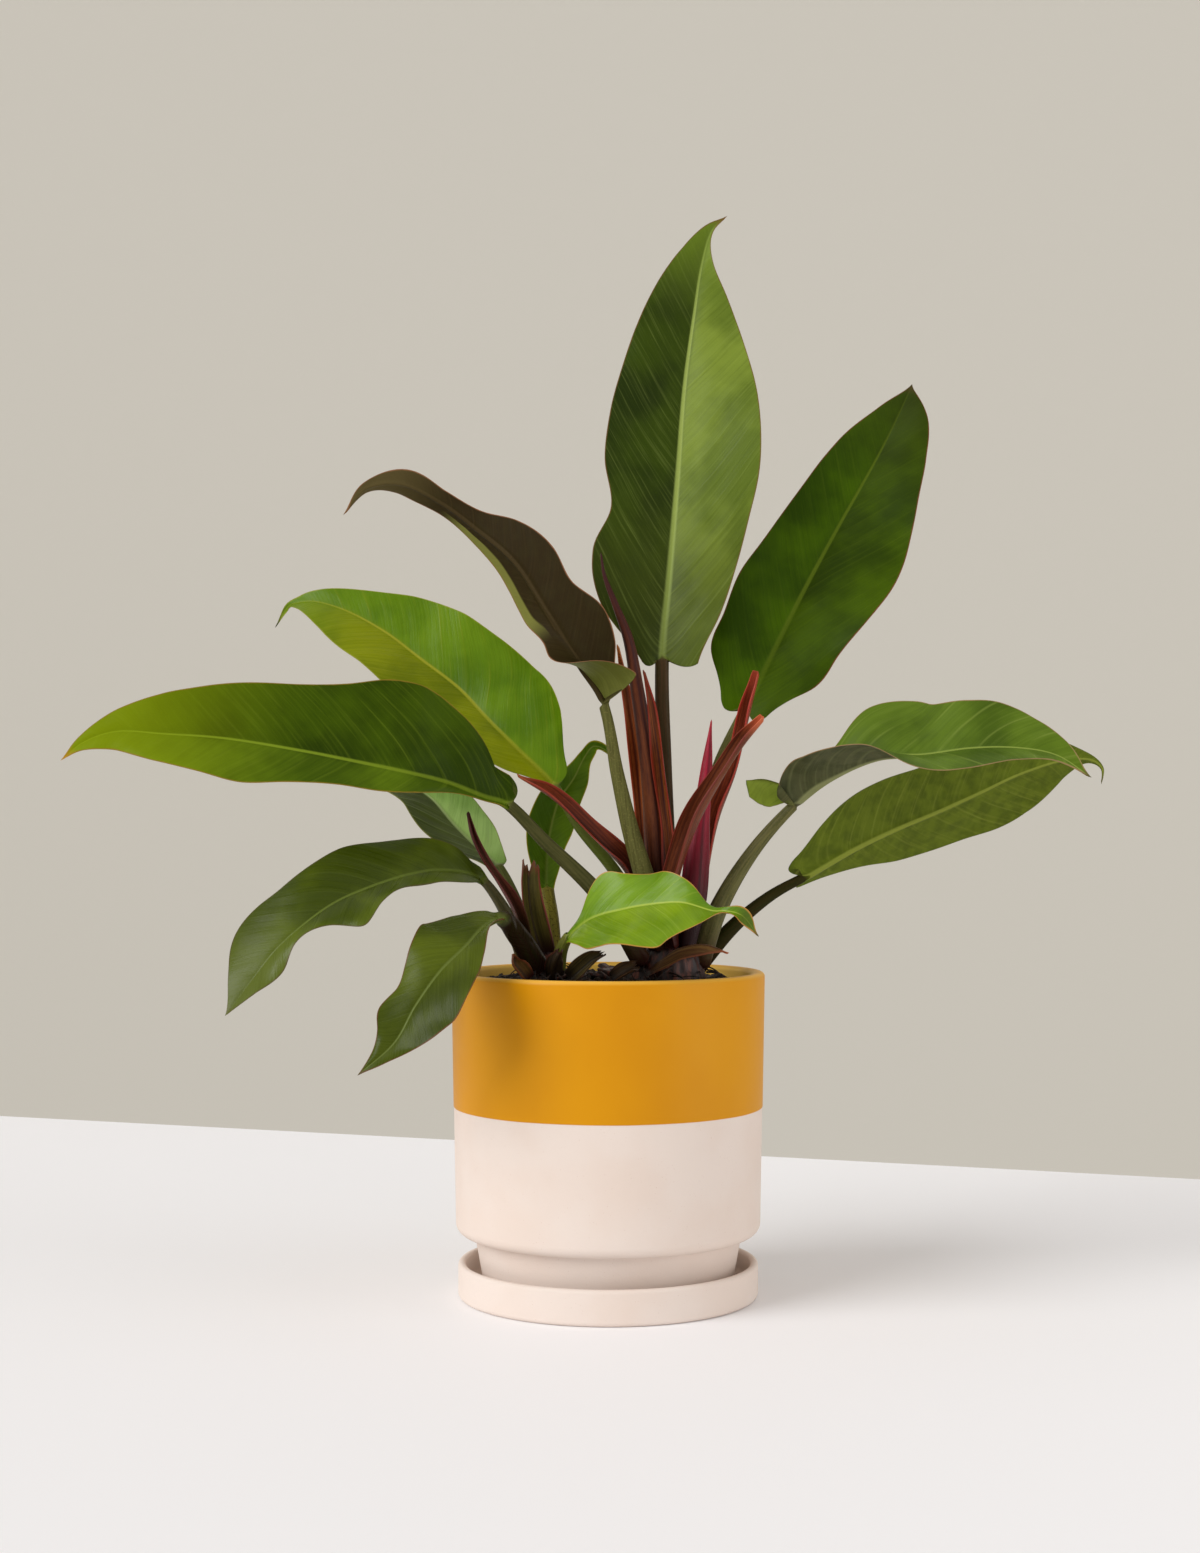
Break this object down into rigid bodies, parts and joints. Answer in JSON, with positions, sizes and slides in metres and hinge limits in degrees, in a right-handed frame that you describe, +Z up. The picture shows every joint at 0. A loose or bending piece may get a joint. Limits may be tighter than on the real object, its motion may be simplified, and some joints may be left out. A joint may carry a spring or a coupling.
{
  "type": "potted philodendron",
  "caption": "Potted philodendron with long wavy leaves and red leaf sheaths, in a two-tone round pot on a clay saucer.",
  "frame": {"origin": "centre of the saucer's flat underside", "axes": "+Z up, -Y towards the side that the plant shows, +X to the right seen from there"},
  "size_m": [0.5577, 0.2057, 0.6103],
  "materials": {
    "bare_clay": "matte",
    "two_tone_pot": "satin",
    "potting_soil": "matte",
    "crown": "satin",
    "leaf_green": "satin",
    "leaf_underside": "satin",
    "leaf_yellow_green": "satin",
    "leaf_dark": "satin",
    "red_sheath": "satin",
    "pink_sheath": "satin",
    "olive_sheath": "satin",
    "brown_scale": "matte",
    "root": "matte"
  },
  "bodies": {
    "root": {"saucer": "bare_clay", "pot": "two_tone_pot", "potting_soil": "potting_soil", "main_crown": "crown", "side_crown": "crown", "leaf_top_centre": "leaf_green", "leaf_upper_right": "leaf_green", "leaf_big_right": "leaf_green", "leaf_lower_right": "leaf_underside", "leaf_long_left": "leaf_green", "leaf_upper_left": "leaf_yellow_green", "leaf_dark_arching": "leaf_dark", "leaf_small_back": "leaf_green", "leaf_pale_back": "leaf_green", "leaf_drooping_left": "leaf_green", "leaf_hanging_front": "leaf_green", "leaf_small_front": "leaf_yellow_green", "sheath_left_groove": "red_sheath", "sheath_orange_tip": "red_sheath", "sheath_inner_strip": "red_sheath", "sheath_right_groove": "red_sheath", "sheath_front_right": "red_sheath", "sheath_pink_spike": "pink_sheath", "sheath_torn_stub": "olive_sheath", "sheath_dried_curl": "red_sheath", "scale_front_brown": "brown_scale", "bract_side_left": "olive_sheath", "bract_side_front": "brown_scale", "stub_cut_leaf": "brown_scale", "stub_cut_low": "brown_scale", "new_leaf_rolled": "red_sheath", "rootlet_back_left": "root", "rootlet_front_left": "root", "rootlet_front_right": "root", "rootlet_far_right": "root"}
  },
  "joints": []
}
